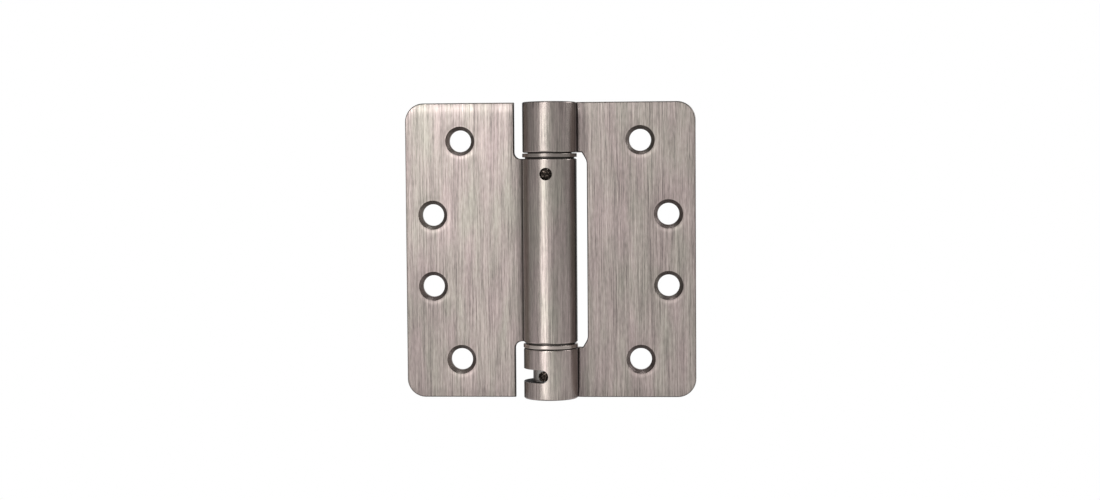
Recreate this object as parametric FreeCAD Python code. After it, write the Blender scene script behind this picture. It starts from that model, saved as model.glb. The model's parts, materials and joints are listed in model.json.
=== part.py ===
import FreeCAD, Part

import os
from math import acos, atan2, cos, degrees, floor, hypot, pi, radians, sin, sqrt, tan

# A spring door hinge of two rolled steel leaves. Millimetres, +X to the knuckle leaf, +Z up the pin axis.
# The origin is on the pin axis at mid-height, and the countersunk faces look towards -Y.

# Leaves: one sheet each, rolled into its barrels at the back
leaf_height = 101.6
leaf_reach = 49.95
leaf_thickness = 3.1
leaf_corner_radius = 6.35
closed_gap = 1.6
edge_round = 0.5

# Barrels rolled from the leaves
barrel_radius = 9.3
centre_barrel_length = 63.0
bend_radius = 5.65
seam_gap = 0.2

# Clearance cuts that let each leaf swing past the other's barrels
window_swing_gap = 3.4
window_corner_run = 1.7
window_corner_rise = 2.9
window_corner_radius = 4.0
window_kink_radius = 0.4
slot_swing_gap = 3.0
slot_corner_radius = 2.3

# Screw holes, staggered in two columns on each leaf
screw_hole_radius = 3.75
countersink_radius = 5.03
countersink_angle = 82.0
end_screw_inset = 13.1
middle_screw_spacing = 24.6
near_column_inset = 18.95
far_column_inset = 9.35

# Bearing rings between the barrels: a rim that shows, a shoulder by the centre barrel, a hub by the knuckle
bearing_height = 2.05
bearing_rim_overhang = 0.1
bearing_shoulder_height = 0.45
bearing_shoulder_inset = 0.8
bearing_hub_height = 0.28
bearing_hub_inset = 1.7
bearing_edge_round = 0.25

# Pivots and their fits
bushing_wall = 1.9
running_clearance = 0.06
seat_clearance = 0.04
thrust_clearance = 0.05
end_chamfer = 0.6

# Top knuckle: nylon bushing and end cap, with the pivot's stud between them
bushing_setback = 0.2
bushing_end_gap = 2.05
stud_end_gap = 2.55
cap_thickness = 2.4
cap_recess = 0.3

# Top pivot, held in the centre barrel by the anchor pin
pivot_head_length = 14.0
anchor_pin_radius = 2.1
anchor_pin_inset = 5.3
anchor_pin_turn = 5.0
anchor_pin_depth = 6.3
anchor_pin_recess = 0.45
pin_dome_height = 0.35

# Torsion spring, close wound, with a tang across each end
spring_wire = 2.6
spring_side_gap = 0.3
spring_coil_gap = 0.09
tang_side_gap = 0.15
tang_end_gap = 0.4

# Spring adjuster, turned through its radial holes or its hexagon socket
lower_bushing_length = 5.0
adjuster_journal_rise = 3.5
adjuster_head_clearance = 0.08
adjuster_shoulder_drop = 0.65
adjuster_hole_radius = 1.8
adjuster_hole_depth = 3.3
adjuster_hole_count = 4
socket_width = 6.0
socket_depth = 4.0

# Tension pin and the slot that it bears on
tension_pin_radius = 1.72
tension_pin_recess = 0.3
tension_pin_turn = 14.2
slot_width = 4.5
slot_inset = 8.15
slot_end_turn = 16.6

# Ring that keeps the adjuster in the bottom knuckle
retainer_thickness = 1.3
retainer_width = 2.16
retainer_recess = 0.2
retainer_end_gap = 0.15

# How far from exact a length may be and still count as zero
flat = 1e-4

# Sizes that follow from the ones above
leaf_top = leaf_height / 2
front_face = closed_gap / 2
back_face = front_face + leaf_thickness
bore_radius = barrel_radius - leaf_thickness
barrel_end = centre_barrel_length / 2
knuckle_start = barrel_end + bearing_height
plug_radius = bore_radius - seat_clearance
bushing_bore_radius = plug_radius - bushing_wall
journal_radius = bushing_bore_radius - running_clearance
cap_bottom = leaf_top - cap_recess - cap_thickness
slot_level = slot_inset - leaf_top
slot_front_angle = 270 - slot_end_turn
slot_back_angle = 90 + slot_end_turn
tension_pin_angle = 270 - tension_pin_turn
anchor_pin_angle = 270 - anchor_pin_turn
anchor_pin_level = barrel_end - anchor_pin_inset
pivot_head_bottom = barrel_end - pivot_head_length
journal_top = lower_bushing_length + adjuster_journal_rise - barrel_end
tang_slot_depth = spring_wire + tang_end_gap
adjuster_bottom = retainer_recess + retainer_thickness + retainer_end_gap - leaf_top
tension_pin_inner = bore_radius - adjuster_head_clearance - adjuster_hole_depth + seat_clearance


def at(radius, angle, height=0.0):
    """A point given by its distance from the pin axis, its angle from +X and its height."""
    return FreeCAD.Vector(radius * cos(radians(angle)), radius * sin(radians(angle)), height)


def cylinder(radius, bottom, top):
    """A round bar on the pin axis."""
    return Part.makeCylinder(radius, top - bottom, FreeCAD.Vector(0, 0, bottom))


def turned(points):
    """A solid turned about the pin axis from a closed outline of (radius, height) points."""
    corners = [FreeCAD.Vector(radius, 0, height) for radius, height in points]
    outline = Part.makePolygon(corners + corners[:1])
    return Part.Face(outline).revolve(FreeCAD.Vector(), FreeCAD.Vector(0, 0, 1), 360)


def radial_bar(radius, inner, outer, angle, height):
    """A round bar that points straight out from the pin axis."""
    return Part.makeCylinder(radius, outer - inner, at(inner, angle, height), at(1, angle))


def sheet_prism(corners):
    """A prism through the leaf's thickness, from (x, z, corner radius) points listed in order round it."""
    edges = []
    starts = []
    ends = []
    for index, (x, z, radius) in enumerate(corners):
        here = FreeCAD.Vector(x, -2 * barrel_radius, z)
        before_x, before_z, _ = corners[index - 1]
        after_x, after_z, _ = corners[(index + 1) % len(corners)]
        to_before = FreeCAD.Vector(before_x - x, 0, before_z - z).normalize()
        to_after = FreeCAD.Vector(after_x - x, 0, after_z - z).normalize()
        half_angle = to_before.getAngle(to_after) / 2
        starts.append(here + to_before * radius / tan(half_angle))
        ends.append(here + to_after * radius / tan(half_angle))
        if radius > 0:
            middle = here + (to_before + to_after).normalize() * radius * (1 / sin(half_angle) - 1)
            edges.append(Part.Arc(starts[-1], middle, ends[-1]).toShape())
    for index, end in enumerate(ends):
        edges.append(Part.makeLine(end, starts[(index + 1) % len(starts)]))
    outline = Part.Wire(Part.__sortEdges__(edges))
    return Part.Face(outline).extrude(FreeCAD.Vector(0, 4 * barrel_radius, 0))


def rolled_blank():
    """The full-height sheet before its cuts: a flat leaf, an S-bend at the back and a barrel closed to a seam."""
    bend_height = back_face + bend_radius
    bend_reach = barrel_radius + bend_radius
    bend_x = sqrt(bend_reach ** 2 - bend_height ** 2)
    bend = FreeCAD.Vector(bend_x, bend_height, 0)
    meeting = degrees(atan2(bend_height, bend_x))
    outer_bend = bend_radius + leaf_thickness
    seam = seam_angle(bend_reach, meeting, outer_bend + seam_gap)
    far_side = (meeting + seam + 360) / 2
    bend_middle = (meeting + 180 + 270) / 2
    front_edge = FreeCAD.Vector(leaf_reach, front_face, 0)
    front_tangent = FreeCAD.Vector(bend_x, front_face, 0)
    back_tangent = FreeCAD.Vector(bend_x, back_face, 0)
    back_edge = FreeCAD.Vector(leaf_reach, back_face, 0)
    outline = Part.Wire([
        Part.makeLine(front_edge, front_tangent),
        Part.Arc(front_tangent, bend + at(outer_bend, bend_middle), at(bore_radius, meeting)).toShape(),
        Part.Arc(at(bore_radius, meeting), at(bore_radius, far_side), at(bore_radius, seam)).toShape(),
        Part.makeLine(at(bore_radius, seam), at(barrel_radius, seam)),
        Part.Arc(at(barrel_radius, seam), at(barrel_radius, far_side), at(barrel_radius, meeting)).toShape(),
        Part.Arc(at(barrel_radius, meeting), bend + at(bend_radius, bend_middle), back_tangent).toShape(),
        Part.makeLine(back_tangent, back_edge),
        Part.makeLine(back_edge, front_edge),
    ])
    blank = Part.Face(outline)
    blank.translate(FreeCAD.Vector(0, 0, -leaf_top))
    return blank.extrude(FreeCAD.Vector(0, 0, leaf_height))


def seam_angle(bend_reach, meeting, distance):
    """Where the barrel's free end stops: its outer corner keeps that distance from the bend's centre."""
    cosine = (bend_reach ** 2 + barrel_radius ** 2 - distance ** 2) / (2 * bend_reach * barrel_radius)
    return meeting - degrees(acos(cosine))


def round_rims(leaf):
    """Rounds the sheared rims of the sheet and the outer edge of its seam."""
    rims = []
    for edge in leaf.Edges:
        box = edge.BoundBox
        upright = box.XLength < flat and box.YLength < flat
        on_outline = box.Center.x > barrel_radius + min(window_swing_gap, slot_swing_gap) - flat
        on_seam = abs(hypot(box.Center.x, box.Center.y) - barrel_radius) < flat and box.Center.y < back_face
        through_sheet = abs(edge.Length - leaf_thickness) < flat or max(box.XLength, box.ZLength) < flat
        is_rim = on_outline or on_seam if upright else not through_sheet
        if is_rim:
            rims.append(edge)
    return leaf.makeFillet(edge_round, rims)


def screw_places():
    """The (x, z) places of the four screw holes on the +X leaf."""
    near = leaf_reach - near_column_inset
    far = leaf_reach - far_column_inset
    end = leaf_top - end_screw_inset
    middle = middle_screw_spacing / 2
    return [(near, end), (far, middle), (far, -middle), (near, -end)]


def drill_screw_holes(leaf):
    """Countersinks the screw holes from the front face."""
    depth = (countersink_radius - screw_hole_radius) / tan(radians(countersink_angle / 2))
    into = FreeCAD.Vector(0, 1, 0)
    for x, z in screw_places():
        mouth = FreeCAD.Vector(x, front_face, z)
        leaf = leaf.cut(Part.makeCylinder(screw_hole_radius, leaf_thickness, mouth, into))
        leaf = leaf.cut(Part.makeCone(countersink_radius, screw_hole_radius, depth, mouth, into))
    return leaf


def trimmed_blank(cuts):
    """The rolled sheet with its rounded outer corners and its clearance cuts."""
    inner = -2 * barrel_radius
    sheet = sheet_prism([
        (inner, -leaf_top, 0),
        (leaf_reach, -leaf_top, leaf_corner_radius),
        (leaf_reach, leaf_top, leaf_corner_radius),
        (inner, leaf_top, 0),
    ])
    leaf = rolled_blank().common(sheet)
    for cut in cuts:
        leaf = leaf.cut(cut)
    return drill_screw_holes(round_rims(leaf.removeSplitter()))


def knuckle_leaf():
    """The right-hand leaf, with a knuckle at each end and the adjuster's slot in the bottom one."""
    inner = -2 * barrel_radius
    window_edge = barrel_radius + window_swing_gap
    kink = window_edge - window_corner_run
    straight_end = knuckle_start - window_corner_rise
    window = sheet_prism([
        (inner, -knuckle_start, 0),
        (kink, -knuckle_start, window_kink_radius),
        (window_edge, -straight_end, window_corner_radius),
        (window_edge, straight_end, window_corner_radius),
        (kink, knuckle_start, window_kink_radius),
        (inner, knuckle_start, 0),
    ])
    return trimmed_blank([window]).cut(adjuster_slot())


def adjuster_slot():
    """The slot round the bottom knuckle's free side, with ends as round as the cutter that made it."""
    half = slot_width / 2
    reach = 2 * barrel_radius
    band = Part.makeCylinder(
        reach, slot_width, FreeCAD.Vector(0, 0, slot_level - half), FreeCAD.Vector(0, 0, 1),
        slot_front_angle - slot_back_angle,
    )
    band.rotate(FreeCAD.Vector(), FreeCAD.Vector(0, 0, 1), slot_back_angle)
    for angle in (slot_back_angle, slot_front_angle):
        band = band.fuse(radial_bar(half, 0, reach, angle, slot_level))
    return band


def barrel_leaf():
    """The left-hand leaf, rolled into the long centre barrel, with the anchor pin's hole near its top."""
    inner = -2 * barrel_radius
    slot_edge = barrel_radius + slot_swing_gap
    beyond = 2 * leaf_top
    cuts = []
    for end in (1, -1):
        cuts.append(sheet_prism([
            (inner, end * barrel_end, 0),
            (slot_edge, end * barrel_end, slot_corner_radius),
            (slot_edge, end * beyond, 0),
            (inner, end * beyond, 0),
        ]))
    leaf = trimmed_blank(cuts).mirror(FreeCAD.Vector(), FreeCAD.Vector(1, 0, 0))
    hole = radial_bar(anchor_pin_radius + seat_clearance, 0, 2 * barrel_radius, anchor_pin_angle, anchor_pin_level)
    return leaf.cut(hole)


def bearing():
    """The ring between the centre barrel and the top knuckle. Only its hub and its shoulder touch them."""
    rim_bottom = barrel_end + bearing_shoulder_height
    rim_top = knuckle_start - bearing_hub_height
    rim = cylinder(barrel_radius + bearing_rim_overhang, rim_bottom, rim_top)
    rim = rim.makeFillet(bearing_edge_round, [edge for edge in rim.Edges if edge.BoundBox.ZLength < flat])
    shoulder = cylinder(barrel_radius - bearing_shoulder_inset, barrel_end, rim_top)
    hub = cylinder(barrel_radius - bearing_hub_inset, barrel_end, knuckle_start - thrust_clearance)
    bore = cylinder(bushing_bore_radius, 0, leaf_top)
    return rim.fuse([shoulder, hub]).cut(bore).removeSplitter()


def upper_bearing():
    """The ring that sits on the centre barrel under the top knuckle."""
    return bearing()


def lower_bearing():
    """The same ring upside down, resting on the bottom knuckle."""
    ring = bearing().mirror(FreeCAD.Vector(), FreeCAD.Vector(0, 0, 1))
    ring.translate(FreeCAD.Vector(0, 0, -thrust_clearance))
    return ring


def tang_slot(open_end, direction):
    """The slot across a plug's end that takes the spring's tang. Direction is +1 when the plug lies above it."""
    width = spring_wire + 2 * tang_side_gap
    length = 4 * barrel_radius
    bottom = min(open_end, open_end + direction * tang_slot_depth)
    return Part.makeBox(length, width, tang_slot_depth, FreeCAD.Vector(-length / 2, -width / 2, bottom))


def top_pivot():
    """The plug pinned in the centre barrel: its stud turns in the top knuckle and its slot holds the spring."""
    stud_top = cap_bottom - stud_end_gap
    plug = turned([
        (0, pivot_head_bottom),
        (plug_radius - end_chamfer, pivot_head_bottom),
        (plug_radius, pivot_head_bottom + end_chamfer),
        (plug_radius, barrel_end - thrust_clearance),
        (journal_radius, barrel_end - thrust_clearance),
        (journal_radius, stud_top - end_chamfer),
        (journal_radius - end_chamfer, stud_top),
        (0, stud_top),
    ])
    hole_bottom = barrel_radius - anchor_pin_recess - anchor_pin_depth - seat_clearance
    hole = radial_bar(
        anchor_pin_radius + seat_clearance, hole_bottom, barrel_radius, anchor_pin_angle, anchor_pin_level
    )
    return plug.cut(hole).cut(tang_slot(pivot_head_bottom, 1))


def anchor_pin():
    """The driven pin that locks the top pivot to the centre barrel, with a domed head just under the surface."""
    return domed_pin(anchor_pin_radius, anchor_pin_depth, anchor_pin_recess, anchor_pin_angle, anchor_pin_level)


def domed_pin(radius, length, recess, angle, height):
    """A radial pin with a low dome on its outer end, whose top lies a recess under the barrel's surface."""
    outer = barrel_radius - recess
    dome_radius = (radius ** 2 + pin_dome_height ** 2) / (2 * pin_dome_height)
    shank = radial_bar(radius, outer - length, outer, angle, height)
    dome = Part.makeSphere(dome_radius, at(outer - dome_radius, angle, height))
    below = radial_bar(2 * radius, outer - 2 * length, outer - 2 * pin_dome_height, angle, height)
    return shank.common(dome.fuse(below))


def sleeve(bottom, top):
    """A bushing that fills the bore and leaves the journal its running clearance."""
    bore = cylinder(bushing_bore_radius, 2 * bottom - top, 2 * top - bottom)
    return cylinder(plug_radius, bottom, top).cut(bore)


def top_bushing():
    """The nylon sleeve in the top knuckle."""
    return sleeve(knuckle_start + bushing_setback, cap_bottom - bushing_end_gap)


def top_cap():
    """The cap that closes the top knuckle, a little below its end."""
    top = leaf_top - cap_recess
    return turned([
        (0, cap_bottom),
        (plug_radius, cap_bottom),
        (plug_radius, top - end_chamfer),
        (plug_radius - end_chamfer, top),
        (0, top),
    ])


def lower_bushing():
    """The nylon sleeve in the bottom of the centre barrel, round the adjuster's journal."""
    return sleeve(thrust_clearance - barrel_end, lower_bushing_length - barrel_end)


def torsion_spring():
    """A close-wound coil whose ends step into line with the plugs' slots and cross them as straight tangs."""
    wire = spring_wire / 2
    mean = bore_radius - spring_side_gap - wire
    bottom = journal_top + wire + spring_coil_gap
    top = pivot_head_bottom - wire - spring_coil_gap
    turns = floor((top - bottom) / (spring_wire + spring_coil_gap))
    pitch = (top - bottom) / turns
    helix = Part.makeHelix(pitch, top - bottom, mean)
    helix.translate(FreeCAD.Vector(0, 0, bottom))
    rise = pitch / (2 * pi)
    section = Part.Wire(Part.makeCircle(wire, at(mean, 0, bottom), FreeCAD.Vector(0, mean, rise)))
    coil = Part.Wire(helix.Edges).makePipeShell([section], True, True)
    step = tang_slot_depth / 2 + wire + spring_coil_gap
    pieces = [coil]
    for level, tang_level in ((bottom, bottom - step), (top, top + step)):
        low = min(level, tang_level)
        pieces.append(Part.makeSphere(wire, at(mean, 0, level)))
        pieces.append(Part.makeSphere(wire, at(mean, 0, tang_level)))
        pieces.append(Part.makeCylinder(wire, step, at(mean, 0, low)))
        pieces.append(Part.makeCylinder(wire, 2 * mean, at(mean, 0, tang_level), FreeCAD.Vector(-1, 0, 0)))
    spring = pieces[0]
    for piece in pieces[1:]:
        spring = spring.fuse(piece)
    return spring


def adjuster():
    """The plug that holds the spring's lower tang and turns in the bottom knuckle to wind it."""
    head_radius = bore_radius - adjuster_head_clearance
    shoulder = -knuckle_start - adjuster_shoulder_drop
    plug = turned([
        (0, adjuster_bottom),
        (head_radius - end_chamfer, adjuster_bottom),
        (head_radius, adjuster_bottom + end_chamfer),
        (head_radius, shoulder - end_chamfer),
        (head_radius - end_chamfer, shoulder),
        (journal_radius, shoulder),
        (journal_radius, journal_top),
        (0, journal_top),
    ])
    for index in range(adjuster_hole_count):
        angle = tension_pin_angle + index * 360 / adjuster_hole_count
        hole_bottom = head_radius - adjuster_hole_depth
        plug = plug.cut(radial_bar(adjuster_hole_radius, hole_bottom, barrel_radius, angle, slot_level))
    return plug.cut(hexagon_socket()).cut(tang_slot(journal_top, -1))


def hexagon_socket():
    """The hexagon socket in the adjuster's lower end."""
    corner = socket_width / sqrt(3)
    corners = [at(corner, 60 * index, adjuster_bottom) for index in range(7)]
    return Part.Face(Part.makePolygon(corners)).extrude(FreeCAD.Vector(0, 0, socket_depth))


def tension_pin():
    """The pin in one of the adjuster's holes, bearing on the front end of the slot."""
    length = barrel_radius - tension_pin_recess - tension_pin_inner
    return domed_pin(tension_pin_radius, length, tension_pin_recess, tension_pin_angle, slot_level)


def retaining_ring():
    """The ring that closes the bottom knuckle round the adjuster's socket."""
    bottom = retainer_recess - leaf_top
    top = bottom + retainer_thickness
    bore = cylinder(plug_radius - retainer_width, 2 * bottom - top, 2 * top - bottom)
    return cylinder(plug_radius, bottom, top).cut(bore)


pieces = {
    "knuckle_leaf": knuckle_leaf,
    "barrel_leaf": barrel_leaf,
    "upper_bearing": upper_bearing,
    "lower_bearing": lower_bearing,
    "top_pivot": top_pivot,
    "anchor_pin": anchor_pin,
    "top_bushing": top_bushing,
    "top_cap": top_cap,
    "lower_bushing": lower_bushing,
    "torsion_spring": torsion_spring,
    "adjuster": adjuster,
    "tension_pin": tension_pin,
    "retaining_ring": retaining_ring,
}

os.makedirs("parts", exist_ok=True)
for name, build in pieces.items():
    shape = build()
    shape.exportStep("parts/" + name + ".step")
    print(name, shape.isValid(), len(shape.Solids), len(shape.Faces), round(shape.Volume, 2))
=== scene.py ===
"""Finish, light and camera for the spring loaded door hinge, and its torsion spring cut in two halves.

Everything is in metres, in the hinge's own frame: the origin on the pin axis at mid-height, +Z up the pin,
+X towards the knuckle leaf, and the countersunk faces towards -Y.
"""

import json
import math

import bmesh
import bpy
from mathutils import Matrix, Vector


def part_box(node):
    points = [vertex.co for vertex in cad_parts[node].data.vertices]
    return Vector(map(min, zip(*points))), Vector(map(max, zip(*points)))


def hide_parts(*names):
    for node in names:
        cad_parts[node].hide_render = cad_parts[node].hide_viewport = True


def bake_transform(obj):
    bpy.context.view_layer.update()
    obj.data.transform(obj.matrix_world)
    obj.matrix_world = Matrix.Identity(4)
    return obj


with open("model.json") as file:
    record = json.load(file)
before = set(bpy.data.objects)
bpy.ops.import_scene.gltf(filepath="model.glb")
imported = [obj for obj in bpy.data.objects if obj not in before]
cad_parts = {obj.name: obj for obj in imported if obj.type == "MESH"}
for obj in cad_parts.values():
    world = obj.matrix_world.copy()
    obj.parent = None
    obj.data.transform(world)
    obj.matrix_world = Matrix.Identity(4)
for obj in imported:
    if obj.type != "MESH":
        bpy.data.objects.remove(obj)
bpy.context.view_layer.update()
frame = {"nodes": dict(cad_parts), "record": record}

MM = 0.001

# The knuckle leaf reaches furthest out, its knuckles furthest back, and its ends are those of the hinge
LEAF_REACH, BARREL_RADIUS, LEAF_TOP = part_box("knuckle_leaf")[1]

# Sizes that the frame's boxes don't give
FRONT_FACE = 0.8 * MM
BACK_FACE = 3.9 * MM
BARREL_END = 31.5 * MM
COUNTERSINK_RADIUS = 5.03 * MM
SCREW_PLACES = [(31.0 * MM, 37.7 * MM), (40.6 * MM, 12.3 * MM)]

# From either end of the torsion spring to the level of its nearest turn
TANG_RISE = 4.19 * MM

# In a copy of a CAD mesh, vertices this close are one, and faces that meet at this angle form an edge
WELD = 0.001 * MM
EDGE_ANGLE = math.radians(30)

# Metals and plastic
LEAF_PINK = (0.675, 0.56, 0.54)
LEAF_CREAM = (0.63, 0.59, 0.52)
RING_PLATE = (0.65, 0.575, 0.53)
ZINC = (0.58, 0.56, 0.54)
OXIDE = (0.015, 0.012, 0.010)
SPRING_STEEL = (0.2, 0.19, 0.18)
NATURAL_NYLON = (0.82, 0.8, 0.74)

# How light the plate came out. Upwards the barrels are painted darker, as painted shade, by this fade to
# the metre
LEAF_TONE = 0.55
BARREL_TONE = 0.60
BARREL_SHADE_FADE = 1.8
# The lower ring is painted lighter and the upper ring darker, as painted light and shade
LOWER_RING_LIT_TONE = 0.78
UPPER_RING_SHADED_TONE = 0.44
CAP_TONE = 0.64

# The walls that the metal reflects: (degrees from the front, + to the right; brightness)
STUDIO_WALLS = [
    (-180, 0.85), (-170, 0.6), (-160, 0.2), (-140, 0.15), (-115, 0.33), (-100, 0.43), (-60, 0.55),
    (-40, 0.7), (-33, 2.5), (-15, 2.5), (-8, 1.1), (4, 0.9), (15, 0.66), (45, 0.6), (93, 0.52),
    (106, 0.31), (121, 0.07), (150, 0.05), (165, 0.7), (180, 0.85),
]
BRIGHTEST_WALL = max(brightness for angle, brightness in STUDIO_WALLS)
DIMMEST_UPPER_WALL = 0.35
CEILING = 0.3
FLOOR_STRAIGHT_BELOW = 0.12
FLOOR_FURTHER_OUT = 0.82

# Lamps: name, place, aim, side of the square, brightness
LAMPS = [
    ("upper_left_softbox", (-0.11, -0.35, 0.16), (-0.03, 0, 0.03), 0.12, 6.1),
    ("overhead_lamp", (-0.005, -0.008, 0.2), (0, 0, 0), 0.08, 2.2),
    ("right_softbox", (0.24, 0.03, 0.15), (0, 0, 0), 0.14, 3.0),
]

# The white floor is a square at this level that reaches this far out from the pin axis
FLOOR_LEVEL = -750 * MM
FLOOR_REACH = 1000 * MM

# Camera, fitted to the photograph's 1100 x 500 frame; its angles are in degrees
CAMERA_TURN = 3.56
CAMERA_RISE = 2.71
CAMERA_ROLL = -0.41
CAMERA_DISTANCE = 566.4 * MM
CAMERA_TARGET = Vector((-0.07 * MM, 0, 0.13 * MM))
FRAME_WIDTH_PIXELS = 1100
FOCAL_PIXELS = 1648.2
SENSOR_WIDTH = 36.0


class Wire:
    """A shader socket that takes part in arithmetic: each operation adds the Math node that does it."""

    def __init__(self, finish, socket):
        self.finish = finish
        self.socket = socket

    def math(self, operation, *others):
        return self.finish.math(operation, self, *others)

    def __add__(self, other):
        return self.math("ADD", other)

    __radd__ = __add__

    def __mul__(self, other):
        return self.math("MULTIPLY", other)

    __rmul__ = __mul__

    def __sub__(self, other):
        return self.math("SUBTRACT", other)

    def __rsub__(self, other):
        return self.finish.math("SUBTRACT", other, self)

    def __truediv__(self, other):
        return self.math("DIVIDE", other)

    def __neg__(self):
        return self.math("MULTIPLY", -1.0)

    def __abs__(self):
        return self.math("ABSOLUTE")

    def least(self, other):
        return self.math("MINIMUM", other)

    def most(self, other):
        return self.math("MAXIMUM", other)

    def smooth(self, low, high):
        """0 below low, 1 above high and an S-curve between them."""
        return self.finish.node(
            "ShaderNodeMapRange",
            {"interpolation_type": "SMOOTHSTEP", "clamp": True},
            {"Value": self, "From Min": low, "From Max": high},
        )

    def bump(self, centre, width):
        """A bell curve: 1 at the centre and about a third one width away from it."""
        away = (self - centre) / width
        return self.finish.math("EXPONENT", -(away * away))


class Finish:
    """The node tree of one material or of the world, with the few calls that build it."""

    def __init__(self, tree):
        self.tree = tree
        tree.nodes.clear()

    def node(self, kind, settings=None, inputs=None, output=0):
        """Adds a node: its settings first, then the values or wires of its sockets. Gives one output."""
        made = self.tree.nodes.new(kind)
        for name, value in (settings or {}).items():
            if name == "stops":
                self.set_stops(made.color_ramp, value)
            else:
                setattr(made, name, value)
        for name, value in (inputs or {}).items():
            socket = made.inputs[name]
            if isinstance(value, Wire):
                self.tree.links.new(value.socket, socket)
            elif socket.type == "RGBA":
                socket.default_value = (*value, 1.0)
            else:
                socket.default_value = value
        return Wire(self, made.outputs[output]) if made.outputs else None

    def set_stops(self, ramp, stops):
        """A grey ramp through (position, level) stops."""
        while len(ramp.elements) < len(stops):
            ramp.elements.new(1.0)
        for element, (position, level) in zip(ramp.elements, stops):
            element.position = position
            element.color = (level, level, level, 1.0)

    def math(self, operation, *values):
        """One Math node on wires or numbers."""
        return self.node("ShaderNodeMath", {"operation": operation}, dict(enumerate(values)))

    def place(self):
        """X, Y and Z of the surface in the hinge's frame, in metres."""
        return self.split(self.node("ShaderNodeTexCoord", output="Object"))

    def split(self, vector):
        """The three coordinates of a vector."""
        return [self.node("ShaderNodeSeparateXYZ", {}, {"Vector": vector}, output=axis) for axis in "XYZ"]

    def join(self, x, y, z):
        """A vector from its three coordinates."""
        return self.node("ShaderNodeCombineXYZ", {}, {"X": x, "Y": y, "Z": z})

    def length(self, first, second):
        """The long side over two sides that meet at a right angle."""
        return self.math("SQRT", first * first + second * second)

    def noise(self, x, y, z, detail=2.0, roughness=0.5):
        """Noise from -0.5 to 0.5 at a point whose coordinates already hold the pattern's scale."""
        grey = self.node(
            "ShaderNodeTexNoise",
            {"noise_dimensions": "3D"},
            {"Vector": self.join(x, y, z), "Scale": 1.0, "Detail": detail, "Roughness": roughness},
        )
        return grey - 0.5

    def mix(self, share, first, second):
        """A colour between two others. The numbers are the places of the node's colour sockets."""
        return self.node("ShaderNodeMix", {"data_type": "RGBA"}, {0: share, 6: first, 7: second}, output=2)

    def tint(self, colour, strength):
        """A colour made lighter or darker by a wire."""
        return self.node("ShaderNodeVectorMath", {"operation": "SCALE"}, {0: colour, "Scale": strength})

    def relief(self, height):
        """The surface's normal, tilted as a height in millimetres asks for."""
        return self.node("ShaderNodeBump", {}, {"Height": height, "Strength": 1.0, "Distance": 1 * MM})

    def surface(self, **sockets):
        """The finished metal or plastic, linked to the material's output."""
        named = {name.replace("_", " "): value for name, value in sockets.items()}
        shader = self.node("ShaderNodeBsdfPrincipled", {}, named)
        self.node("ShaderNodeOutputMaterial", {}, {"Surface": shader})


def new_material(name):
    material = bpy.data.materials.new(name)
    material.use_nodes = True
    return material, Finish(material.node_tree)


def belt_marks(finish, place, across, along, shift=0.0, **settings):
    """Noise drawn out along the belt's path, with so many marks to the metre across it and along it."""
    x, y, z = place
    return finish.noise(x * across + shift, y * across, z * along, **settings)


def screw_holes(finish, x, z):
    """Distance from the axis of the nearest screw hole, and two masks round the holes: the painted shade at
    the upper right inside each countersink, and the painted glow just below it."""
    # In this function distances are in countersink radii, and nearest starts from a value past them all
    nearest = 100.0
    shade = 0.0
    painted_glow = 0.0
    for hole_x, hole_z in SCREW_PLACES:
        across = (x - x.math("SIGN") * hole_x) / COUNTERSINK_RADIUS
        up = (z - z.math("SIGN") * hole_z) / COUNTERSINK_RADIUS
        away = finish.length(across, up)
        nearest = away.least(nearest)
        shade = shade + (1 - away.smooth(0.98, 1.02)) * (across + up).smooth(-0.7, 0.4)
        painted_glow = painted_glow + away.bump(1.12, 0.12) * (-up).smooth(0.3, 1)
    return nearest * COUNTERSINK_RADIUS, shade, painted_glow


def cut_edges(x, y):
    """Mask of the leaves' cut edges: behind the front face, short of the back face and clear of the bends.
    It is half as strong for the first tenth of a millimetre, where the sharp corner is broken."""
    broken = y.smooth(FRONT_FACE + 0.005 * MM, FRONT_FACE + 0.04 * MM)
    square = y.smooth(FRONT_FACE + 0.15 * MM, FRONT_FACE + 0.4 * MM)
    short_of_back = 1 - y.smooth(BACK_FACE - 0.25 * MM, BACK_FACE - 0.04 * MM)
    past_bend = abs(x).smooth(BARREL_RADIUS + 1.5 * MM, BARREL_RADIUS + 1.9 * MM)
    return (broken + square) * 0.5 * short_of_back * past_bend


def knuckle_seams(y, from_axis):
    """Mask of the lines where the rolled sheet closes on its own leaf, from in front of the leaf to just
    behind its front face."""
    in_front = y.smooth(-2.2 * MM, -1 * MM)
    behind = y.smooth(FRONT_FACE + 0.2 * MM, FRONT_FACE + 0.5 * MM)
    outside = from_axis.smooth(BARREL_RADIUS + 0.1 * MM, BARREL_RADIUS + 0.9 * MM)
    return in_front * (1 - behind) * (1 - outside)


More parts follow.
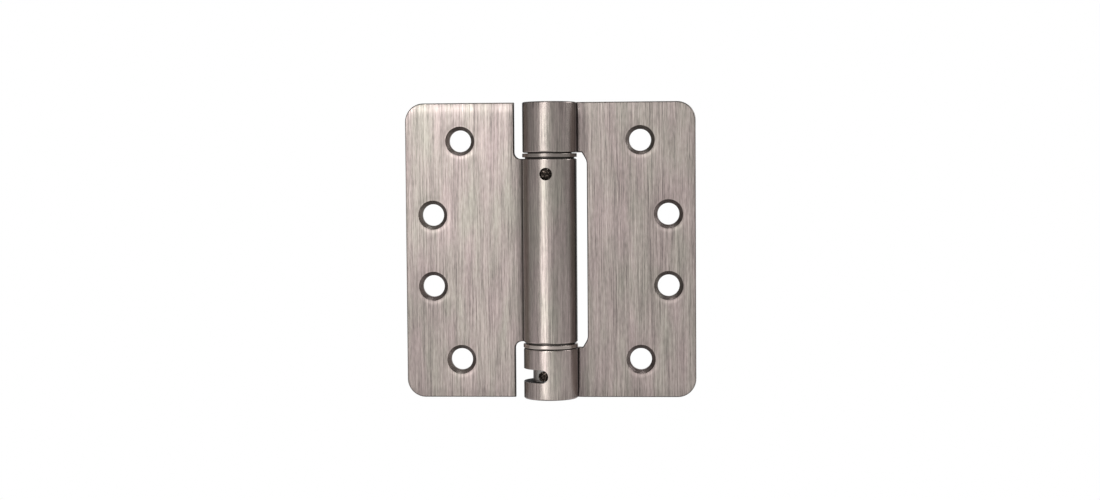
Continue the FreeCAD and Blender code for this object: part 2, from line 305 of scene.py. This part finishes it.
def leaf_finish():
    """Satin nickel whose warm tone drifts between pink and cream, brushed by a belt that ran along the pin
    axis. Its marks are long in Z and narrow across, and deepest where it ran off the ends. Painted shade
    darkens the plate by the barrels, in the seams, on the cut edges, in the bores, inside the countersinks,
    over the knuckle leaf and at the barrel leaf's lower outer part. Painted highlights lighten a strip near
    that leaf's top end and a spot below each countersink."""
    material, finish = new_material("leaf_plate_brushed")
    place = finish.place()
    x, y, z = place
    from_axis = finish.length(x, y)
    from_end = LEAF_TOP - abs(z)
    on_leaf = from_axis.smooth(BARREL_RADIUS + 0.1 * MM, BARREL_RADIUS + 1.2 * MM)
    on_barrel = 1 - on_leaf

    hairline = belt_marks(finish, place, 6000, 72, detail=3.0, roughness=0.6)
    streak = belt_marks(finish, place, 2100, 38, shift=4.0)
    band = belt_marks(finish, place, 550, 25, shift=1.0)
    fleck = belt_marks(finish, place, 2600, 400, shift=6.0)
    run_off = belt_marks(finish, place, 2600, 20, shift=2.0, detail=1.0)
    brushing = (hairline * 2.1 + streak * 0.9 + band * 0.4 + fleck * 0.8) * (0.8 + 0.2 * on_leaf)
    drift = finish.noise(x * 160, y * 160 + 3.0, z * 60)
    hue = finish.noise(x * 170 + 5.0, y * 170, z * 40 + 8.0, detail=3.0)

    # On the leaves: both ends, painted shade over the knuckle leaf and the barrel leaf's lower outer part,
    # a painted highlight near the barrel leaf's top end, painted shade by the barrels, the countersinks,
    # and painted shade on the cut edges, lighter at the outer sides
    ends = 1 - from_end.smooth(0.5 * MM, 3.5 * MM)
    # Painted shade over the barrel leaf's lower outer part
    lower_outer_shade = (-x).smooth(30 * MM, 47 * MM) * (-z).smooth(-5 * MM, 20 * MM)
    # A painted highlight in a strip along the barrel leaf's top end
    painted_top_highlight = on_leaf * (LEAF_TOP - z).bump(2 * MM, 1.3 * MM) * (-x).smooth(0, 10 * MM)
    corner = on_leaf * from_axis.bump(BARREL_RADIUS + 1.9 * MM, 1.9 * MM)
    from_hole, shade, painted_glow = screw_holes(finish, x, z)
    countersink = 1 - from_hole.smooth(COUNTERSINK_RADIUS - 0.1 * MM, COUNTERSINK_RADIUS + 0.1 * MM)
    edge = on_leaf * cut_edges(x, y)
    outer_side = abs(x).smooth(LEAF_REACH - 4 * MM, LEAF_REACH - 1 * MM)

    # On the barrels: the side where the knuckles run into their leaf, and painted shade on the flanks
    # elsewhere, in the seams beside the knuckles, in a line at the top of the centre barrel, on the end
    # faces and in the bores
    beside_knuckle = x.smooth(0, 2 * MM) * abs(z).smooth(BARREL_END + 1.5 * MM, BARREL_END + 2.5 * MM)
    flank = on_barrel * y.bump(0, 4.4 * MM) * (1 - beside_knuckle)
    past_rim = z.smooth(BARREL_END + 0.1 * MM, BARREL_END + 0.2 * MM)
    rim = on_barrel * z.smooth(BARREL_END - 0.35 * MM, BARREL_END - 0.25 * MM) * (1 - past_rim)
    end_face = on_barrel * (1 - from_end.smooth(0.15 * MM, 0.45 * MM))
    bore_shade = 1 - from_axis.smooth(BARREL_RADIUS - 0.25 * MM, BARREL_RADIUS - 0.06 * MM)
    bore_shade = bore_shade * from_end.smooth(0.2 * MM, 0.5 * MM)

    tone = BARREL_TONE - on_leaf * (BARREL_TONE - LEAF_TONE) - on_barrel * z * BARREL_SHADE_FADE
    tone = tone * (1 + brushing + drift * 0.2) * (1 + painted_top_highlight * 0.16)
    # Each mask darkens the tone by its depth: first the belt's run-off marks at the ends, then painted
    # shade
    for mask, depth in (
        (ends * run_off.smooth(0.04, 0.14), 0.4),
        # Painted shade over the knuckle leaf
        (on_leaf * x.smooth(0, 12 * MM), 0.11),
        (lower_outer_shade, 0.2),
        (corner, 0.27 + 0.16 * beside_knuckle),
        (flank, 0.82),
        (knuckle_seams(y, from_axis) * beside_knuckle, 0.78),
        (rim, 0.7),
        (end_face, 0.5),
        (bore_shade, 0.95),
        (edge * (1 - countersink), 0.82 - outer_side * 0.45 + streak * 0.2),
    ):
        tone = tone * (1 - mask * depth)
    # Painted shade inside the countersinks and a painted glow below them
    tone = tone * (1 - shade * 0.6 + painted_glow * 0.3)

    # Heights in millimetres: the plate rolls over at its ends and sides, and dips round the holes
    rolled_end = from_end.bump(0, 2.2 * MM) * -0.2
    rolled_side = (LEAF_REACH - abs(x)).bump(0, 1.3 * MM) * -0.03
    dish = from_hole.bump(COUNTERSINK_RADIUS, 1.3 * MM) * -0.07
    grain = hairline * 0.012 + streak * 0.006
    finish.surface(
        Base_Color=finish.tint(finish.mix(hue.smooth(-0.24, 0.3), LEAF_PINK, LEAF_CREAM), tone),
        Metallic=1 - bore_shade,
        Roughness=0.24 + on_leaf * 0.16 + drift * 0.1 - countersink * 0.16 + bore_shade * 0.5 + edge * 0.15,
        Normal=finish.relief(grain * (1 - countersink) + (dish + rolled_end + rolled_side) * on_leaf),
    )
    return material


def ring_finish():
    """Turned steel, plated like the leaves, with painted shade in the grooves of the two rings. The lower
    ring, the upper ring and the end cap above them are told apart by height: the lower ring is painted
    lighter and the upper ring darker, as painted light and shade, and the end cap has a tone of its own."""
    material, finish = new_material("bearing_ring_turned")
    x, y, z = finish.place()
    from_axis = finish.length(x, y)
    turning = finish.noise(z * 9000, from_axis * 5000, 0.0)
    patch = finish.noise(x * 160, y * 160, z * 160)
    # Painted shade in the grooves
    groove_shade = 1 - from_axis.smooth(BARREL_RADIUS - 0.5 * MM, BARREL_RADIUS - 0.1 * MM)
    groove_shade = groove_shade * (LEAF_TOP - abs(z)).smooth(4 * MM, 6 * MM)
    tone = LOWER_RING_LIT_TONE + z.smooth(-5 * MM, 5 * MM) * (UPPER_RING_SHADED_TONE - LOWER_RING_LIT_TONE)
    tone = tone + z.smooth(40 * MM, 45 * MM) * (CAP_TONE - UPPER_RING_SHADED_TONE)
    tone = tone * (1 + turning * 0.5 + patch * 0.3) * (1 - groove_shade * 0.85)
    finish.surface(
        Base_Color=finish.tint(RING_PLATE, tone),
        Metallic=1.0,
        Roughness=0.2 + patch * 0.12,
        Normal=finish.relief(turning * 0.01),
    )
    return material


def plug_finish():
    """Zinc-plated turned steel."""
    material, finish = new_material("plug_steel_turned")
    x, y, z = finish.place()
    turning = finish.noise(z * 7000, finish.length(x, y) * 4000, 0.0)
    patch = finish.noise(x * 220, y * 220, z * 220)
    finish.surface(
        Base_Color=finish.tint(ZINC, 0.7 + turning * 0.3 + patch * 0.25),
        Metallic=1.0,
        Roughness=0.34 + patch * 0.14,
        Normal=finish.relief(turning * 0.012),
    )
    return material


def pin_finish():
    """Black oxide on steel, with small specks where the oxide is worn."""
    material, finish = new_material("dark_pin_oxide")
    x, y, z = finish.place()
    patch = finish.noise(x * 1700 + 7.0, y * 1700, z * 1700, detail=1.0)
    finish.surface(
        Base_Color=finish.tint(OXIDE, 0.8 + patch.smooth(0.08, 0.15) * 8),
        Metallic=1.0,
        Roughness=0.26 + patch * 0.2,
        Normal=finish.relief(patch * 0.15),
    )
    return material


def spring_finish():
    """Oiled spring wire, a little uneven in tone."""
    material, finish = new_material("spring_wire_oiled")
    x, y, z = finish.place()
    patch = finish.noise(x * 500, y * 500, z * 500, detail=3.0)
    finish.surface(
        Base_Color=finish.tint(SPRING_STEEL, 1 + patch * 0.6),
        Metallic=1.0,
        Roughness=0.28 + patch * 0.2,
        Normal=finish.relief(patch * 0.01),
    )
    return material


def nylon_finish():
    """Natural nylon, moulded."""
    material, finish = new_material("nylon_moulded")
    x, y, z = finish.place()
    patch = finish.noise(x * 300, y * 300, z * 300)
    finish.surface(
        Base_Color=finish.tint(NATURAL_NYLON, 0.95 + patch * 0.12),
        Roughness=0.45 + patch * 0.1,
        Normal=finish.relief(patch * 0.01),
    )
    return material


def dress_nodes():
    """Gives each piece the finish that its material slot names."""
    finishes = {
        "leaf_plate": leaf_finish(),
        "bearing_ring": ring_finish(),
        "plug_steel": plug_finish(),
        "dark_pin": pin_finish(),
        "spring_wire": spring_finish(),
        "nylon": nylon_finish(),
    }
    for part in frame["record"]["subparts"]:
        for slot in frame["nodes"][part["node"]].material_slots:
            slot.material = finishes[part["material_slot"]]


def twisting_spring():
    """The torsion spring, cut in two at mid-height into a lower and an upper half, each with its cut
    closed.
    The uncut spring is hidden."""
    solid = frame["nodes"]["torsion_spring"]
    low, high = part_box("torsion_spring")
    middle = (low + high) / 2
    halves = (
        ("torsion_spring_lower", "adjuster", low.z, low.z + TANG_RISE),
        ("torsion_spring_upper", "barrel_leaf", high.z, high.z - TANG_RISE),
    )
    for name, body, end, first_turn in halves:
        # Half of the wire, with its cut closed
        half = bmesh.new()
        half.from_mesh(solid.data)
        bmesh.ops.remove_doubles(half, verts=half.verts, dist=WELD)
        bmesh.ops.bisect_plane(
            half,
            geom=[*half.verts, *half.edges, *half.faces],
            plane_co=middle,
            plane_no=(0, 0, middle.z - end),
            clear_outer=True,
        )
        bmesh.ops.holes_fill(half, edges=[edge for edge in half.edges if edge.is_boundary])
        bmesh.ops.recalc_face_normals(half, faces=half.faces)
        mesh = bpy.data.meshes.new(name)
        half.to_mesh(mesh)
        half.free()
        mesh.materials.append(solid.material_slots[0].material)
        mesh.set_sharp_from_angle(angle=EDGE_ANGLE)
        piece = bpy.data.objects.new(name, mesh)
        bpy.context.scene.collection.objects.link(piece)
        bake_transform(piece)
        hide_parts("torsion_spring")


def make_camera():
    """The camera stands where the photograph was taken from, turned by the photograph's own small roll."""
    turn, rise, roll = (math.radians(angle) for angle in (CAMERA_TURN, CAMERA_RISE, CAMERA_ROLL))
    back = Vector((math.sin(turn) * math.cos(rise), -math.cos(turn) * math.cos(rise), math.sin(rise)))
    level = Vector((math.cos(turn), math.sin(turn), 0))
    upright = back.cross(level)
    right = level * math.cos(roll) + upright * math.sin(roll)
    up = upright * math.cos(roll) - level * math.sin(roll)
    data = bpy.data.cameras.new("photo_camera")
    data.sensor_width = SENSOR_WIDTH
    data.lens = FOCAL_PIXELS / FRAME_WIDTH_PIXELS * SENSOR_WIDTH
    data.clip_start = 10 * MM
    camera = bpy.data.objects.new("photo_camera", data)
    axes = Matrix((right, up, back)).transposed().to_4x4()
    camera.matrix_world = Matrix.Translation(CAMERA_TARGET + back * CAMERA_DISTANCE) @ axes
    bpy.context.scene.collection.objects.link(camera)
    bpy.context.scene.camera = camera


def light_world():
    """A white room to the eye. The metal reflects a studio: walls with a tall bright strip at the left that
    dim to the right, a darker ceiling, and a pale floor that is dark straight below. The walls' upper part
    has a least brightness, which keeps the end cap from going black."""
    world = bpy.data.worlds.new("studio")
    world.use_nodes = True
    bpy.context.scene.world = world
    room = Finish(world.node_tree)
    # Where a direction points: its share of the full turn, counted from behind, and its rise in degrees
    x, y, z = room.split(room.node("ShaderNodeTexCoord", output="Generated"))
    turn = room.math("ARCTAN2", x, -y) / (2 * math.pi) + 0.5
    rise = room.math("ARCSINE", z) * (180 / math.pi)
    stops = [(angle / 360 + 0.5, level / BRIGHTEST_WALL) for angle, level in STUDIO_WALLS]
    walls = room.node("ShaderNodeValToRGB", {"stops": stops}, {0: turn}) * BRIGHTEST_WALL
    walls = walls.most(DIMMEST_UPPER_WALL * rise.smooth(5, 18))
    above_floor = rise.smooth(-16, -6)
    below_ceiling = 1 - rise.smooth(18, 48)
    floor = FLOOR_STRAIGHT_BELOW + (FLOOR_FURTHER_OUT - FLOOR_STRAIGHT_BELOW) * rise.smooth(-85, -50)
    glow = above_floor * (CEILING + (walls - CEILING) * below_ceiling) + (1 - above_floor) * floor
    seen = room.node("ShaderNodeLightPath", output="Is Camera Ray")
    lit = room.node("ShaderNodeBackground", {}, {"Color": (1, 0.99, 0.98), "Strength": glow})
    white = room.node("ShaderNodeBackground", {}, {"Color": (1, 1, 1), "Strength": 1.0})
    mixed = room.node("ShaderNodeMixShader", {}, {0: seen, 1: lit, 2: white})
    room.node("ShaderNodeOutputWorld", {}, {"Surface": mixed})


def lay_floor():
    """A plain white floor well below the hinge, which the metal doesn't reflect."""
    mesh = bpy.data.meshes.new("white_floor")
    sides = [(-1, -1), (1, -1), (1, 1), (-1, 1)]
    corners = [(x * FLOOR_REACH, y * FLOOR_REACH, FLOOR_LEVEL) for x, y in sides]
    mesh.from_pydata(corners, [], [(0, 1, 2, 3)])
    floor = bpy.data.objects.new("white_floor", mesh)
    bpy.context.scene.collection.objects.link(floor)
    material, finish = new_material("white_floor_paint")
    finish.surface(Base_Color=(0, 0, 0), Emission_Color=(1, 1, 1), Emission_Strength=1.0, Roughness=1.0)
    mesh.materials.append(material)
    floor.visible_glossy = False
    floor.visible_diffuse = False
    floor.visible_shadow = False


def hang_lamp(name, place, aim, size, brightness):
    """A square lamp that the metal sees and the camera doesn't, with the power for its brightness."""
    data = bpy.data.lights.new(name, "AREA")
    data.shape = "SQUARE"
    data.size = size
    data.energy = brightness * math.pi * size ** 2
    lamp = bpy.data.objects.new(name, data)
    away = (Vector(place) - Vector(aim)).normalized()
    turned = away.to_track_quat("Z", "Y").to_matrix().to_4x4()
    lamp.matrix_world = Matrix.Translation(Vector(place)) @ turned
    lamp.visible_camera = False
    bpy.context.scene.collection.objects.link(lamp)


light_world()
lay_floor()
for lamp in LAMPS:
    hang_lamp(*lamp)
dress_nodes()
twisting_spring()
make_camera()
bpy.context.scene.view_settings.view_transform = "Standard"
